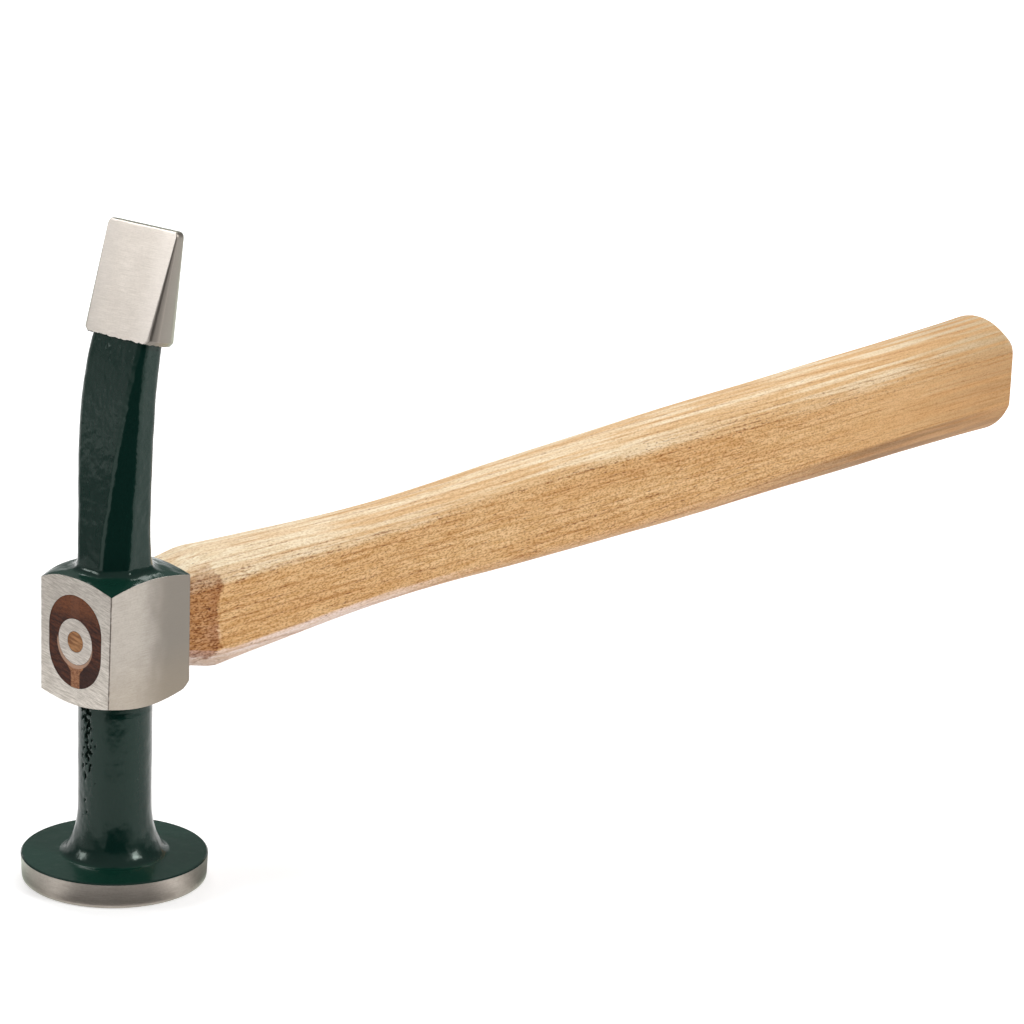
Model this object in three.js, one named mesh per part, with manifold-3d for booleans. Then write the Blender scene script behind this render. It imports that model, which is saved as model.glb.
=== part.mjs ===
// Auto body hammer: a drop-forged head with a flat round striking disc below and a swept cross chisel
// above, on a hickory handle that is held in the eye by a wooden wedge and a hollow steel ring wedge.
//
// Millimetres. The origin is the centre of the striking face. +Z runs up the head from the striking
// face to the chisel, +X runs along the handle, and the two ground cheeks of the block face +Y and -Y.

import * as THREE from 'three';
import { mergeVertices } from 'three/addons/utils/BufferGeometryUtils.js';
import Module from 'manifold-3d';

const wasm = await Module();
wasm.setup();

// Fit between two pieces that touch.
const clearance = 0.3;
// How far a cutting shape runs past the surface that it cuts.
const overrun = 2;

// Striking disc.
const discRadius = 19.25;
const discHeight = 5.5;
const discEdgeRound = 0.8;
const discRimTaper = 0.2;
const discTopBevel = 0.25;

// Round stem between the disc and the block, with its forged fillet.
const stemRadius = 7.55;
const stemFilletReach = 3.9;
const stemFilletRise = 11;
const stemLength = 35.6;

// Block that carries the eye. The heights are those of its corners.
const blockLength = 22.74;
const blockWidth = 19.94;
const blockHeight = 23.6;
const blockCrownRise = 4.7;
const blockUnderSlope = 0.34;

// Eye: an obround hole along X, wider at both mouths than at its waist.
const eyeWidth = 15;
const eyeHeight = 19.6;
const eyeWaistInset = 0.45;
const eyeAboveBlockMiddle = 0.3;

// Neck: a near octagon at its foot, which sweeps towards the handle and flattens under the chisel.
const neckLength = 45.7;
const neckFootOffset = 0.5;
const neckSweep = 3.4;
const neckFootDepth = 14.4;
const neckThroatDepth = 6.2;
const neckFootWidth = 14.7;
const neckThroatWidth = 15.4;
const neckSpread = 0.75;
const neckFootChamfer = 4.1;
const neckThroatChamfer = 1.1;
const neckFootFillet = 1.3;

// Cross chisel.
const chiselLength = 23.1;
const chiselLeanDegrees = 12.2;
const chiselSetBack = 0.25;
const chiselBaseThickness = 7.5;
const chiselTipThickness = 1.9;
const chiselBaseWidth = 20.8;
const chiselTipWidth = 19.6;
const chiselEdgeWidth = 1.4;
const chiselEdgeDepth = 2;
const chiselFootBevel = 0.9;
const chiselCornerRound = 1.3;
const chiselTipBevel = 0.35;

// Handle, from the rear face of the block to the butt. Half heights are along Z and half widths along Y.
const handleLength = 307.6;
const handleCrownRadius = 12.5;
const shoulderHalfHeight = 12.95;
const shoulderHalfWidth = 10.45;
const shoulderLength = 13.5;
const shoulderChamferLength = 8.5;
const shoulderChamferInset = 2.1;
const waistHalfHeight = 10.7;
const waistHeightAt = 74;
const waistHalfWidth = 8.5;
const waistWidthAt = 96;
const swellHalfHeight = 11.95;
const swellAt = 118;
const palmHalfHeight = 13.5;
const palmHalfWidth = 11.1;
const palmAt = 194;
const gripHalfHeight = 14.4;
const gripHalfWidth = 11.8;
const gripAt = 265;
const buttHalfHeight = 15.25;
const buttHalfWidth = 12;
const buttChamferLength = 5;
const buttChamferInset = 3.6;

// Wooden wedge, driven from the front into a saw cut along the tall axis of the eye.
const woodWedgeThickness = 2.6;
const woodWedgeTipThickness = 0.9;
const woodWedgeDepth = 15.5;

// Hollow steel ring wedge, driven over the middle of the wooden one.
const ringWedgeRadius = 4.8;
const ringWedgeTipRadius = 3.9;
const ringWedgeBore = 2.22;
const ringWedgeDepth = 11;

// Numbers of facets.
const turnFacets = 72;
const roundSteps = 10;
const edgeSteps = 5;
const neckSteps = 22;
const eyeSteps = 8;
const handleSteps = 44;
const crownSteps = 9;

// Places that follow from the sizes.
const blockBottom = discHeight + stemLength;
const blockTop = blockBottom + blockHeight;
const eyeAxisHeight = blockBottom + blockHeight / 2 + eyeAboveBlockMiddle;
const blockFront = -blockLength / 2;
const blockRear = blockLength / 2;
const footReachShare = (neckFootWidth / 2 + neckFootFillet) * Math.SQRT2 / blockWidth;
const neckFootHeight = blockTop + blockCrownRise * (1 - footReachShare) + neckFootFillet;
const chiselLean = THREE.MathUtils.degToRad(chiselLeanDegrees);
const shoulderSeat = blockRear + clearance;

const lerp = THREE.MathUtils.lerp;

// Rough forged and painted steel, ground steel, hickory, and the wedge materials.
const headMaterial = new THREE.MeshStandardMaterial({ color: 0x1c3a30, roughness: 0.25, metalness: 0.3 });
const handleMaterial = new THREE.MeshStandardMaterial({ color: 0xd3a86c, roughness: 0.6, metalness: 0 });
const woodWedgeMaterial = new THREE.MeshStandardMaterial({ color: 0xb98a5e, roughness: 0.7, metalness: 0 });
const ringWedgeMaterial = new THREE.MeshStandardMaterial({ color: 0xb4aaa0, roughness: 0.35, metalness: 1 });

// Turns a closed geometry into a solid.
function solid(geometry) {
  geometry.deleteAttribute('normal');
  geometry.deleteAttribute('uv');
  const merged = mergeVertices(geometry);
  return new wasm.Manifold(new wasm.Mesh({
    numProp: 3,
    vertProperties: new Float32Array(merged.attributes.position.array),
    triVerts: new Uint32Array(merged.index.array),
  }));
}

// Turns a solid back into a geometry.
function geometryOf(shape) {
  const mesh = shape.getMesh();
  const geometry = new THREE.BufferGeometry();
  geometry.setAttribute('position', new THREE.BufferAttribute(new Float32Array(mesh.vertProperties), 3));
  geometry.setIndex(new THREE.BufferAttribute(new Uint32Array(mesh.triVerts), 1));
  geometry.computeVertexNormals();
  return geometry;
}

// A closed skin over rings of equal count. Seen from the end that the rings go to, each runs clockwise.
function loft(rings) {
  const count = rings[0].length;
  const positions = rings.flat().flatMap((point) => [point.x, point.y, point.z]);
  const triangles = [];
  for (let ring = 0; ring + 1 < rings.length; ring += 1) {
    for (let side = 0; side < count; side += 1) {
      const next = (side + 1) % count;
      const a = ring * count + side;
      const b = ring * count + next;
      const c = a + count;
      const d = b + count;
      triangles.push(a, c, b, b, c, d);
    }
  }
  const last = (rings.length - 1) * count;
  for (let side = 1; side + 1 < count; side += 1) {
    triangles.push(0, side, side + 1);
    triangles.push(last, last + side + 1, last + side);
  }
  const geometry = new THREE.BufferGeometry();
  geometry.setAttribute('position', new THREE.Float32BufferAttribute(positions, 3));
  geometry.setIndex(triangles);
  return geometry;
}

// A smooth value at a place along stations of [place, value], flat at neither end.
function flow(stations, place) {
  const last = stations.length - 1;
  let i = 0;
  while (i < last - 1 && place > stations[i + 1][0]) {
    i += 1;
  }
  const slope = (k) => {
    const before = stations[Math.max(k - 1, 0)];
    const after = stations[Math.min(k + 1, last)];
    return (after[1] - before[1]) / (after[0] - before[0]);
  };
  const [x0, y0] = stations[i];
  const [x1, y1] = stations[i + 1];
  const span = x1 - x0;
  const t = THREE.MathUtils.clamp((place - x0) / span, 0, 1);
  const rise = t * t * (3 - 2 * t);
  const leave = t * (1 - t) * (1 - t) * span * slope(i);
  const arrive = t * t * (t - 1) * span * slope(i + 1);
  return y0 + (y1 - y0) * rise + leave + arrive;
}

// Profile points of a quarter of an ellipse about a centre, from one angle to another.
function ellipseArc(centreX, centreY, reachX, reachY, from, to, steps) {
  const points = [];
  for (let i = 0; i <= steps; i += 1) {
    const angle = lerp(from, to, i / steps);
    points.push(new THREE.Vector2(centreX + reachX * Math.cos(angle), centreY + reachY * Math.sin(angle)));
  }
  return points;
}

// A solid of revolution about Z, from a profile of radius and height.
function turned(profile) {
  const geometry = new THREE.LatheGeometry(profile, turnFacets);
  geometry.rotateX(Math.PI / 2);
  return solid(geometry);
}

// The striking disc, its fillet and the stem, turned in one piece up into the block.
function strikingEnd() {
  const rimRadius = discRadius - discRimTaper;
  const filletCentre = stemRadius + stemFilletReach;
  const filletTop = discHeight + stemFilletRise;
  const profile = [
    new THREE.Vector2(0, 0),
    ...ellipseArc(rimRadius - discEdgeRound, discEdgeRound, discEdgeRound, discEdgeRound,
      -Math.PI / 2, 0, edgeSteps),
    new THREE.Vector2(discRadius, discHeight - discTopBevel),
    new THREE.Vector2(discRadius - discTopBevel, discHeight),
    ...ellipseArc(filletCentre, filletTop, stemFilletReach, stemFilletRise,
      -Math.PI / 2, -Math.PI, roundSteps),
    new THREE.Vector2(stemRadius, blockBottom + overrun),
    new THREE.Vector2(0, blockBottom + overrun),
  ];
  return turned(profile);
}

// The block: a box whose ends are turned to a blunt cone, as on a nut. The upper cone is drawn out to
// the block's oblong plan, and the lower one is round.
function block() {
  const cornerRadius = Math.hypot(blockLength, blockWidth) / 2;
  const crown = new THREE.LatheGeometry([
    new THREE.Vector2(0, blockBottom - cornerRadius),
    new THREE.Vector2(cornerRadius + overrun, blockBottom - cornerRadius),
    new THREE.Vector2(cornerRadius + overrun, blockTop - blockCrownRise * overrun / cornerRadius),
    new THREE.Vector2(0, blockTop + blockCrownRise),
  ], turnFacets);
  crown.rotateX(Math.PI / 2);
  const drawnOut = Math.SQRT1_2 / cornerRadius;
  crown.scale(blockLength * drawnOut, blockWidth * drawnOut, 1);
  const under = turned([
    new THREE.Vector2(0, blockBottom - blockUnderSlope * cornerRadius),
    new THREE.Vector2(cornerRadius + overrun, blockBottom + blockUnderSlope * overrun),
    new THREE.Vector2(cornerRadius + overrun, blockTop + cornerRadius),
    new THREE.Vector2(0, blockTop + cornerRadius),
  ]);
  const box = new THREE.BoxGeometry(blockLength, blockWidth, blockHeight + 2 * cornerRadius);
  box.translate(0, 0, blockBottom + blockHeight / 2);
  return solid(box).intersect(solid(crown)).intersect(under);
}

// One section of the neck or the chisel, square to a line in the XZ plane that leans by an angle.
function headSection(x, z, lean, halfDepth, halfWidth, edgeDepth, edgeWidth) {
  const outline = [
    [-halfDepth, halfWidth - edgeWidth],
    [edgeDepth - halfDepth, halfWidth],
    [halfDepth - edgeDepth, halfWidth],
    [halfDepth, halfWidth - edgeWidth],
    [halfDepth, edgeWidth - halfWidth],
    [halfDepth - edgeDepth, -halfWidth],
    [edgeDepth - halfDepth, -halfWidth],
    [-halfDepth, edgeWidth - halfWidth],
  ];
  return outline.map(([depth, width]) => new THREE.Vector3(
    x + depth * Math.cos(lean), width, z - depth * Math.sin(lean)));
}

// The neck's middle line: upright at the foot, then bending ever more towards the handle.
function neckMiddle(share) {
  const x = -neckFootOffset + neckSweep * share ** 4;
  return [x, neckFootHeight + neckLength * share];
}

// The neck's section at a share of its height, let out by a margin for the fillet at its foot.
function neckSection(share, margin) {
  const [x, z] = neckMiddle(share);
  const depth = lerp(neckFootDepth, neckThroatDepth, share);
  const spread = neckSpread * Math.sin(Math.PI * share ** 1.5);
  const halfWidth = lerp(neckFootWidth, neckThroatWidth, share) / 2 + spread;
  const chamfer = lerp(neckFootChamfer, neckThroatChamfer, share ** 1.3);
  const lean = chiselLean * share ** 3;
  return headSection(x, z, lean, depth / 2 + margin, halfWidth + margin, chamfer, chamfer);
}

// The neck, from inside the block, up over its foot fillet and along its sweep into the chisel.
function neck() {
  const rings = [];
  const rootRing = neckSection(0, neckFootFillet);
  rings.push(rootRing.map((point) => new THREE.Vector3(point.x, point.y, eyeAxisHeight + eyeHeight / 2)));
  for (let i = 0; i < edgeSteps; i += 1) {
    const angle = (Math.PI / 2) * (i / edgeSteps);
    const lift = neckFootFillet * (Math.sin(angle) - 1);
    const ring = neckSection(0, neckFootFillet * (1 - Math.cos(Math.PI / 2 - angle)));
    rings.push(ring.map((point) => new THREE.Vector3(point.x, point.y, point.z + lift)));
  }
  for (let i = 0; i <= neckSteps; i += 1) {
    rings.push(neckSection(i / neckSteps, 0));
  }
  const [x, z] = neckMiddle(1);
  const depth = neckThroatDepth / 2 - neckThroatChamfer;
  const width = neckThroatWidth / 2 - neckThroatChamfer;
  const inside = chiselLength / 4;
  rings.push(headSection(x + inside * Math.sin(chiselLean), z + inside * Math.cos(chiselLean), chiselLean,
    depth / 2, width, depth / 4, depth / 4));
  return solid(loft(rings));
}

// The chisel's section at a distance from its base, drawn in by a bevel.
function chiselSection(distance, widthBevel, thicknessBevel) {
  const share = distance / chiselLength;
  const [neckX, neckZ] = neckMiddle(1);
  const x = neckX + chiselSetBack * Math.cos(chiselLean) + distance * Math.sin(chiselLean);
  const z = neckZ - chiselSetBack * Math.sin(chiselLean) + distance * Math.cos(chiselLean);
  const halfDepth = lerp(chiselBaseThickness, chiselTipThickness, share) / 2 - thicknessBevel;
  const halfWidth = lerp(chiselBaseWidth, chiselTipWidth, share) / 2 - widthBevel;
  const edge = lerp(1, 1 / 8, share);
  return headSection(x, z, chiselLean, halfDepth, halfWidth, chiselEdgeDepth * edge, chiselEdgeWidth * edge);
}

// The cross chisel: ground flat on both faces, with eased corners at its tip.
function chisel() {
  const rings = [chiselSection(0, chiselFootBevel, 0), chiselSection(chiselFootBevel, 0, 0)];
  for (let i = 0; i <= edgeSteps; i += 1) {
    const angle = (Math.PI / 2) * (i / edgeSteps);
    const distance = chiselLength - chiselCornerRound * (1 - Math.sin(angle));
    const inset = chiselCornerRound * (1 - Math.cos(angle));
    const bevel = i === edgeSteps ? chiselTipBevel : 0;
    rings.push(chiselSection(distance, inset, bevel));
  }
  return solid(loft(rings));
}

// An obround ring across X, wide along Y and tall along Z.
function obroundRing(x, halfWidth, halfHeight) {
  const points = [];
  for (let end = 0; end < 2; end += 1) {
    for (let i = 0; i <= 2 * eyeSteps; i += 1) {
      const angle = end * Math.PI + Math.PI * (i / (2 * eyeSteps));
      const side = end === 0 ? 1 : -1;
      const y = -halfWidth * Math.cos(angle);
      const z = halfWidth * Math.sin(angle) + side * (halfHeight - halfWidth);
      points.push(new THREE.Vector3(x, y, eyeAxisHeight + z));
    }
  }
  return points;
}

// The space of the eye, drawn in all round by a margin, between two places along X.
function eyeSpace(margin, from, to) {
  const rings = [];
  for (let i = 0; i <= eyeSteps; i += 1) {
    const x = lerp(from, to, i / eyeSteps);
    const waist = eyeWaistInset * Math.cos((Math.PI / 2) * Math.min(Math.abs(x) / blockRear, 1));
    rings.push(obroundRing(x, eyeWidth / 2 - waist - margin, eyeHeight / 2 - waist - margin));
  }
  return solid(loft(rings));
}

// A turned shape laid on the eye's axis, with its zero height on the front face of the block.
function turnedInEye(profile) {
  const geometry = new THREE.LatheGeometry(profile, turnFacets / 2);
  geometry.rotateZ(-Math.PI / 2);
  geometry.translate(blockFront, 0, eyeAxisHeight);
  return solid(geometry);
}

// The full round of the ring wedge, let out by a margin, and running out of the front face.
function ringWedgeRound(margin) {
  const tipTaper = (ringWedgeRadius - ringWedgeTipRadius) / ringWedgeDepth;
  return turnedInEye([
    new THREE.Vector2(0, -overrun),
    new THREE.Vector2(ringWedgeRadius + margin + tipTaper * overrun, -overrun),
    new THREE.Vector2(ringWedgeTipRadius + margin, ringWedgeDepth + margin),
    new THREE.Vector2(0, ringWedgeDepth + margin),
  ]);
}

// The bore of the ring wedge, drawn in by a margin, and open at both ends.
function ringWedgeHole(margin) {
  return turnedInEye([
    new THREE.Vector2(0, -2 * overrun),
    new THREE.Vector2(ringWedgeBore - margin, -2 * overrun),
    new THREE.Vector2(ringWedgeBore - margin, ringWedgeDepth + 2 * overrun),
    new THREE.Vector2(0, ringWedgeDepth + 2 * overrun),
  ]);
}

// The wooden wedge's taper, let out by a margin, taller than the eye and running out of the front face.
function woodWedgeSlab(margin) {
  const taper = (woodWedgeThickness - woodWedgeTipThickness) / woodWedgeDepth / 2;
  const start = blockFront - overrun;
  const end = blockFront + woodWedgeDepth + margin;
  const outline = new THREE.Shape([
    new THREE.Vector2(start, -woodWedgeThickness / 2 - taper * overrun - margin),
    new THREE.Vector2(end, -woodWedgeTipThickness / 2 - margin),
    new THREE.Vector2(end, woodWedgeTipThickness / 2 + margin),
    new THREE.Vector2(start, woodWedgeThickness / 2 + taper * overrun + margin),
  ]);
  const geometry = new THREE.ExtrudeGeometry(outline, { depth: eyeHeight + 2 * overrun, bevelEnabled: false });
  geometry.translate(0, 0, eyeAxisHeight - eyeHeight / 2 - overrun);
  return solid(geometry);
}

// One section of the handle: flat cheeks between a crowned top and a crowned bottom.
function handleSection(x, halfHeight, halfWidth) {
  const crown = Math.max(handleCrownRadius, halfWidth);
  const spread = Math.asin(halfWidth / crown);
  const points = [];
  for (const side of [1, -1]) {
    for (let i = 0; i <= crownSteps; i += 1) {
      const angle = lerp(-spread, spread, i / crownSteps);
      const y = side * crown * Math.sin(angle);
      const z = side * (halfHeight - crown + crown * Math.cos(angle));
      points.push(new THREE.Vector3(x, y, eyeAxisHeight + z));
    }
  }
  return points;
}

// The shaped part of the handle, from its seat on the block to the chamfered butt.
function handleShaft() {
  const rimAt = handleLength - buttChamferLength;
  const heights = [
    [shoulderLength, shoulderHalfHeight],
    [waistHeightAt, waistHalfHeight],
    [swellAt, swellHalfHeight],
    [palmAt, palmHalfHeight],
    [gripAt, gripHalfHeight],
    [rimAt, buttHalfHeight],
  ];
  const widths = [
    [shoulderLength, shoulderHalfWidth],
    [waistWidthAt, waistHalfWidth],
    [palmAt, palmHalfWidth],
    [gripAt, gripHalfWidth],
    [rimAt, buttHalfWidth],
  ];
  const crownDrop = shoulderChamferInset / 4;
  const rings = [
    handleSection(shoulderSeat, shoulderHalfHeight - crownDrop - shoulderChamferInset,
      shoulderHalfWidth - shoulderChamferInset),
    handleSection(blockRear + shoulderChamferLength, shoulderHalfHeight - crownDrop, shoulderHalfWidth),
  ];
  for (let i = 0; i <= handleSteps; i += 1) {
    const place = lerp(shoulderLength, rimAt, i / handleSteps);
    rings.push(handleSection(blockRear + place, flow(heights, place), flow(widths, place)));
  }
  rings.push(handleSection(blockRear + handleLength, buttHalfHeight - buttChamferInset,
    buttHalfWidth - buttChamferInset));
  return solid(loft(rings));
}

// The forged head in one piece, with its eye.
function hammerHead() {
  const eye = eyeSpace(0, blockFront - overrun, blockRear + overrun);
  return strikingEnd().add(block()).add(neck()).add(chisel()).subtract(eye);
}

// The handle with its tenon, which is slit for the wooden wedge and opened for the ring wedge.
function handle() {
  const tenon = eyeSpace(clearance, blockFront, shoulderSeat + overrun);
  return handleShaft().add(tenon).subtract(woodWedgeSlab(clearance)).subtract(ringWedgeRound(clearance));
}

// The wooden wedge, trimmed to the eye and flush with the front face, with the ring wedge's groove in it.
function woodenWedge() {
  const inEye = eyeSpace(clearance, blockFront, blockRear);
  const groove = ringWedgeRound(clearance).subtract(ringWedgeHole(clearance));
  return woodWedgeSlab(0).intersect(inEye).subtract(groove);
}

// The ring wedge: a tapered tube, flush with the front face.
function ringWedge() {
  const inBlock = eyeSpace(0, blockFront, blockRear);
  return ringWedgeRound(0).subtract(ringWedgeHole(0)).intersect(inBlock);
}

function named(name, shape, material) {
  const mesh = new THREE.Mesh(geometryOf(shape), material);
  mesh.name = name;
  return mesh;
}

const hammer = new THREE.Group();
hammer.add(
  named('hammer_head', hammerHead(), headMaterial),
  named('handle', handle(), handleMaterial),
  named('wooden_wedge', woodenWedge(), woodWedgeMaterial),
  named('ring_wedge', ringWedge(), ringWedgeMaterial),
);

export default hammer;
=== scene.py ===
"""Auto body hammer: the visual model, its materials and the studio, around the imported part.

Sizes are in millimetres and are turned into metres where a mesh or an object is made. +Z runs up the
head from the striking face, +X along the handle, and the ground cheeks of the block face +Y and -Y.
"""

import math

import bmesh
import bpy
from mathutils import Matrix, Vector, noise


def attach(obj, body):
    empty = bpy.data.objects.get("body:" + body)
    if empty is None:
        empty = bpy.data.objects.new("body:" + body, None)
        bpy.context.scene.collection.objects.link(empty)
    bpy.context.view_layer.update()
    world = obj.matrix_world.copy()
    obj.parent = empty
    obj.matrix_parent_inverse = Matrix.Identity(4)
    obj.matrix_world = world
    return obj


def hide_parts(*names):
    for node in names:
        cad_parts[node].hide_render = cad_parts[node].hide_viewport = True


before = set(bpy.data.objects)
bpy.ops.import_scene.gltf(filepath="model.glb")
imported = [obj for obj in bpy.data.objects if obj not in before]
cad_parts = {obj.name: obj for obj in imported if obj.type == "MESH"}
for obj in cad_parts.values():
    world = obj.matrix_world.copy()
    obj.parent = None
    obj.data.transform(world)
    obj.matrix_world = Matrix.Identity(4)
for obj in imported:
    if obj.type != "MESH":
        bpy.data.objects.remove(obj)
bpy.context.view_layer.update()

MM = 0.001

# Striking disc and stem.
disc_radius = 19.25
disc_height = 5.5
disc_edge_round = 0.8
disc_rim_taper = 0.2
disc_top_bevel = 0.25
stem_radius = 7.55
stem_length = 35.6
fillet_reach = 3.9
fillet_rise = 11
fillet_foot_turn = math.radians(10)

# Block.
block_length = 22.74
block_width = 19.94
block_height = 23.6
block_crown_rise = 4.7
block_wall_drop = 3
block_under_slope = 0.34
block_edge_ease = 0.3
block_corner_wear = 1.3
block_wear_reach = 2.4
crown_swell = 0.65
crown_swell_from = 0.58
crown_full_towards = math.radians(142)
near_edge_twist = 0.38

# Eye, with the thin line of glue between the steel and the wood, and the fit of wood on wood.
eye_width = 15
eye_height = 19.6
eye_waist_inset = 0.45
eye_above_middle = 0.3
glue_line = 0.06
wedge_fit = 0.015

# Neck.
neck_length = 45.7
neck_foot_rise = 3.12
neck_foot_offset = 0.5
neck_sweep = 3.4
neck_foot_depth = 14.4
neck_throat_depth = 6.2
neck_foot_width = 14.7
neck_throat_width = 15.4
neck_spread = 0.75
neck_foot_chamfer = 4.1
neck_throat_chamfer = 1.1
neck_foot_fillet = 1.5
neck_edge_ease = 0.8

# Cross chisel.
chisel_length = 23.1
chisel_lean = math.radians(12.2)
chisel_set_back = 0.25
chisel_base_thickness = 7.5
chisel_tip_thickness = 1.9
chisel_base_width = 20.8
chisel_tip_width = 19.6
chisel_side_bulge = 0.3
chisel_edge_width = 1.4
chisel_edge_depth = 2
chisel_edge_ease = 0.7
chisel_foot_bevel = 0.9
chisel_corner_round = 1.3
chisel_tip_bevel = 0.45

# Handle. Places run from the rear face of the block.
handle_length = 307.6
handle_crown_radius = 12.5
handle_edge_round = 2.6
shoulder_bevel_inset = 2.1
shoulder_top_length = 11
shoulder_top_drop = 1.8
shoulder_low_length = 12.3
shoulder_low_drop = 3.3
butt_bevel_length = 5
butt_bevel_inset = 3.6
butt_corner_round = 1.7
butt_heel_draw = 0.16
butt_heel_lift = 0.05

# Wedges.
wood_wedge_thickness = 2.6
wood_wedge_tip_thickness = 0.9
wood_wedge_depth = 15.5
ring_wedge_radius = 4.8
ring_wedge_tip_radius = 3.9
ring_wedge_bore = 2.22
ring_wedge_depth = 11

# Places that follow from the sizes.
block_bottom = disc_height + stem_length
block_top = block_bottom + block_height
block_middle = block_bottom + block_height / 2
eye_axis_height = block_middle + eye_above_middle
block_rear = block_length / 2
block_front = -block_rear
corner_radius = math.hypot(block_length, block_width) / 2
neck_foot_height = block_top + neck_foot_rise
# The block's walls end above this height.
wall_foot = block_bottom - block_wall_drop

# How far a solid reaches past the face where it cuts or joins another.
past = 2


def lerp(a, b, share):
    return a + (b - a) * share


def smooth_step(low, high, value):
    """0 up to low, 1 from high on, and an even curve between them."""
    share = min(max((value - low) / (high - low), 0), 1)
    return share * share * (3 - 2 * share)


def flow(stations, place):
    """A smooth value at a place along stations of (place, value)."""
    last = len(stations) - 1
    i = 0
    while i < last - 1 and place > stations[i + 1][0]:
        i += 1

    def slope(k):
        before, after = stations[max(k - 1, 0)], stations[min(k + 1, last)]
        return (after[1] - before[1]) / (after[0] - before[0])

    (x0, y0), (x1, y1) = stations[i], stations[i + 1]
    span = x1 - x0
    t = min(max((place - x0) / span, 0), 1)
    rise = t * t * (3 - 2 * t)
    leave = t * (1 - t) * (1 - t) * span * slope(i)
    arrive = t * t * (t - 1) * span * slope(i + 1)
    return y0 + (y1 - y0) * rise + leave + arrive


def make_object(name, points, faces):
    """An object whose mesh has these points, given in millimetres, and closed faces turned outwards."""
    mesh = bpy.data.meshes.new(name)
    mesh.from_pydata([Vector(point) * MM for point in points], [], faces)
    shell = bmesh.new()
    shell.from_mesh(mesh)
    bmesh.ops.recalc_face_normals(shell, faces=shell.faces)
    shell.to_mesh(mesh)
    shell.free()
    piece = bpy.data.objects.new(name, mesh)
    bpy.context.collection.objects.link(piece)
    return piece


def loft(name, rings):
    """A closed skin over rings of equal count."""
    count = len(rings[0])
    faces = [tuple(range(count)), tuple(range(count * len(rings) - count, count * len(rings)))]
    for ring in range(len(rings) - 1):
        for side in range(count):
            a = ring * count + side
            b = ring * count + (side + 1) % count
            faces.append((a, b, b + count, a + count))
    return make_object(name, [point for ring in rings for point in ring], faces)


def joined(base, others, operation):
    """The base after a boolean with each of the others, which are used up."""
    for other in others:
        cut = base.modifiers.new(other.name, "BOOLEAN")
        cut.operation = operation
        cut.solver = "EXACT"
        cut.object = other
    whole = base.evaluated_get(bpy.context.evaluated_depsgraph_get())
    mesh = bpy.data.meshes.new_from_object(whole)
    base.modifiers.clear()
    base.data = mesh
    for other in others:
        bpy.data.objects.remove(other)
    return base


def shade(piece, crease_degrees):
    """Smooth shading that keeps the edges sharper than an angle, and even flats beside narrow rounds."""
    piece.data.shade_smooth()
    piece.data.set_sharp_from_angle(angle=math.radians(crease_degrees))
    weighted = piece.modifiers.new("EvenFlats", "WEIGHTED_NORMAL")
    weighted.keep_sharp = True


# Head.

def circle(radius, facets):
    """The points of a circle, as pairs."""
    turns = [2 * math.pi * i / facets for i in range(facets)]
    return [(radius * math.cos(turn), radius * math.sin(turn)) for turn in turns]


def turned(name, profile):
    """A solid of revolution about Z over a profile of (radius, height)."""
    facets = 168
    return loft(name, [[(x, y, height) for x, y in circle(radius, facets)] for radius, height in profile])


def striking_end():
    """The disc, its fillet and the stem, turned in one piece up into the block."""
    edge_steps = 6
    fillet_steps = 36
    stem_steps = 64
    rim_radius = disc_radius - disc_rim_taper
    fillet_top = disc_height + fillet_rise
    profile = []
    for i in range(edge_steps + 1):
        angle = lerp(-math.pi / 2, 0, i / edge_steps)
        profile.append((
            rim_radius - disc_edge_round + disc_edge_round * math.cos(angle),
            disc_edge_round + disc_edge_round * math.sin(angle),
        ))
    profile.append((disc_radius, disc_height - disc_top_bevel))
    profile.append((disc_radius - disc_top_bevel, disc_height))
    for i in range(fillet_steps + 1):
        angle = lerp(fillet_foot_turn, math.pi / 2, i / fillet_steps)
        out = (1 - math.sin(angle)) / (1 - math.sin(fillet_foot_turn))
        down = math.cos(angle) / math.cos(fillet_foot_turn)
        profile.append((stem_radius + fillet_reach * out, fillet_top - fillet_rise * down))
    for i in range(1, stem_steps + 1):
        profile.append((stem_radius, lerp(fillet_top, block_bottom + past, i / stem_steps)))
    return turned("striking_end", profile)


def block_plan():
    """The block's plan outline, with its four edges eased."""
    edge_steps, side_steps = 3, 30
    x, y = block_rear, block_width / 2
    corners = [(x, y), (-x, y), (-x, -y), (x, -y)]
    return eased([(Vector(corner), block_edge_ease) for corner in corners], edge_steps, side_steps)


def eased(corners, curve_steps, flat_steps):
    """An outline through corners of (point, reach), each drawn as a curve that starts a reach before it."""
    most_share = 0.45
    points = []
    count = len(corners)
    for i in range(count):
        before, (corner, reach), after = corners[i - 1][0], corners[i], corners[(i + 1) % count][0]
        next_reach = corners[(i + 1) % count][1]
        side = (after - corner).length
        start = corner.lerp(before, min(reach / (before - corner).length, most_share))
        end = corner.lerp(after, min(reach / side, most_share))
        for k in range(curve_steps + 1):
            share = k / curve_steps
            points.append(start.lerp(corner, share).lerp(corner.lerp(end, share), share))
        next_start = after.lerp(corner, min(next_reach / side, most_share))
        for k in range(1, flat_steps):
            points.append(end.lerp(next_start, k / flat_steps))
    return points


def crown_height(x, y):
    """The height of the block's top: a blunt cone drawn out to the oblong plan."""
    reach = math.hypot(x / block_length, y / block_width) * math.sqrt(2)
    full_side = max(0, math.cos(math.atan2(y, x) - crown_full_towards))
    swell_share = min(max((reach - crown_swell_from) / (1 - crown_swell_from), 0), 1)
    swell = crown_swell * full_side * math.sin(math.pi * swell_share)
    return block_top + block_crown_rise * (1 - reach) + swell


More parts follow.
